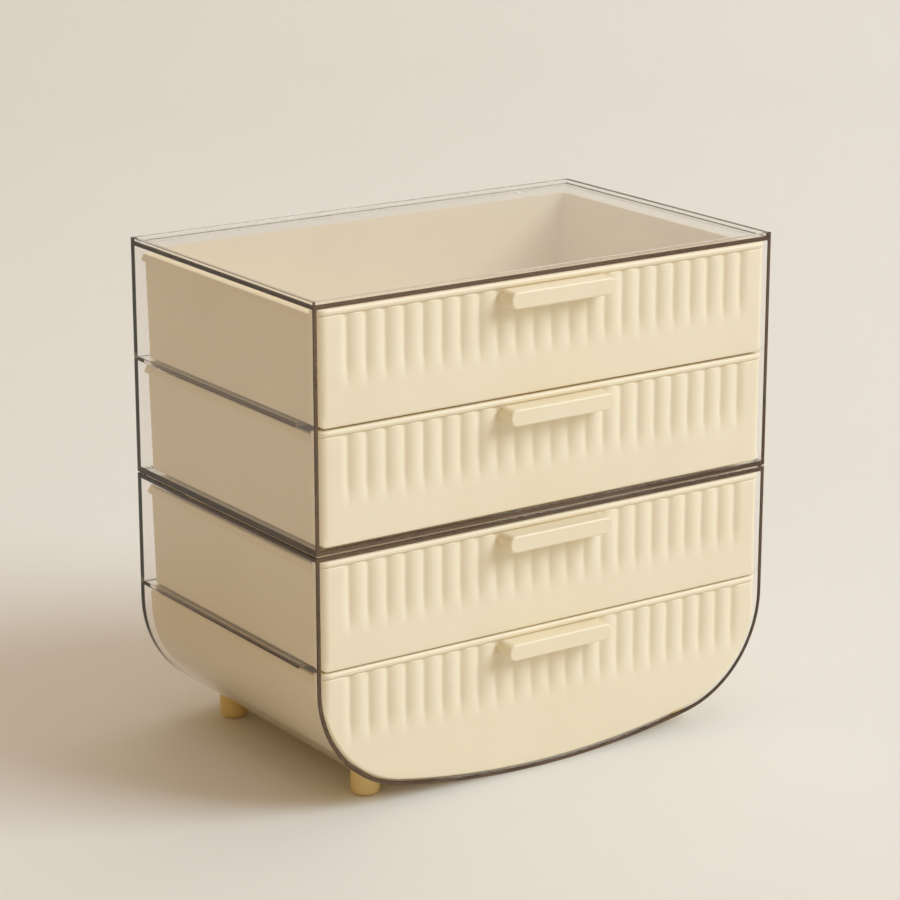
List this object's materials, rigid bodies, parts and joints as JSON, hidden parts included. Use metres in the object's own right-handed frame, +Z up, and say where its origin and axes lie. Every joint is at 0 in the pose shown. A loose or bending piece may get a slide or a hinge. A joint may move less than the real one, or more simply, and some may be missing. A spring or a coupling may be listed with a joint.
{
  "type": "cosmetic drawer organizer",
  "caption": "Clear acrylic vanity organizer: fluted cream drawers with bar handles slide out of stacked cases, the lower one rounded underneath and raised on round feet.",
  "frame": {"origin": "on the floor, under the middle of the whole part, handles included", "axes": "+Z up, +X to the right as seen from the front, drawers open towards -Y"},
  "size_m": [0.3, 0.2008, 0.2833],
  "materials": {
    "clear_acrylic": "polished clear sheet",
    "cream_plastic": "satin moulded",
    "screw_steel": "zinc plated",
    "clear_silicone": "clear silicone"
  },
  "bodies": {
    "lower_unit": {"lower_wrap": "clear_acrylic", "lower_top_sheet": "clear_acrylic", "lower_back_sheet": "clear_acrylic", "lower_left_runner": "clear_acrylic", "lower_right_runner": "clear_acrylic", "front_left_foot": "cream_plastic", "front_right_foot": "cream_plastic", "rear_left_foot": "cream_plastic", "rear_right_foot": "cream_plastic"},
    "upper_unit": {"upper_top_sheet": "clear_acrylic", "upper_base_sheet": "clear_acrylic", "upper_back_sheet": "clear_acrylic", "upper_left_sheet": "clear_acrylic", "upper_right_sheet": "clear_acrylic", "upper_left_runner": "clear_acrylic", "upper_right_runner": "clear_acrylic", "stacking_pads": "clear_silicone"},
    "drawer_1": {"drawer_1_tray": "cream_plastic", "drawer_1_front": "cream_plastic", "drawer_1_handle": "cream_plastic", "drawer_1_screws": "screw_steel"},
    "drawer_2": {"drawer_2_tray": "cream_plastic", "drawer_2_front": "cream_plastic", "drawer_2_handle": "cream_plastic", "drawer_2_screws": "screw_steel"},
    "drawer_3": {"drawer_3_tray": "cream_plastic", "drawer_3_front": "cream_plastic", "drawer_3_handle": "cream_plastic", "drawer_3_screws": "screw_steel"},
    "drawer_4": {"drawer_4_tray": "cream_plastic", "drawer_4_front": "cream_plastic", "drawer_4_handle": "cream_plastic", "drawer_4_screws": "screw_steel"}
  },
  "joints": [
    {"name": "upper_unit_lift", "type": "slide", "parent": "lower_unit", "child": "upper_unit", "axis": [0, 0, 1], "range_m": [0, 0.05]},
    {"name": "drawer_1_slide", "type": "slide", "parent": "upper_unit", "child": "drawer_1", "axis": [0, -1, 0], "range_m": [0, 0.15]},
    {"name": "drawer_2_slide", "type": "slide", "parent": "upper_unit", "child": "drawer_2", "axis": [0, -1, 0], "range_m": [0, 0.15]},
    {"name": "drawer_3_slide", "type": "slide", "parent": "lower_unit", "child": "drawer_3", "axis": [0, -1, 0], "range_m": [0, 0.15]},
    {"name": "drawer_4_slide", "type": "slide", "parent": "lower_unit", "child": "drawer_4", "axis": [0, -1, 0], "range_m": [0, 0.15]}
  ]
}
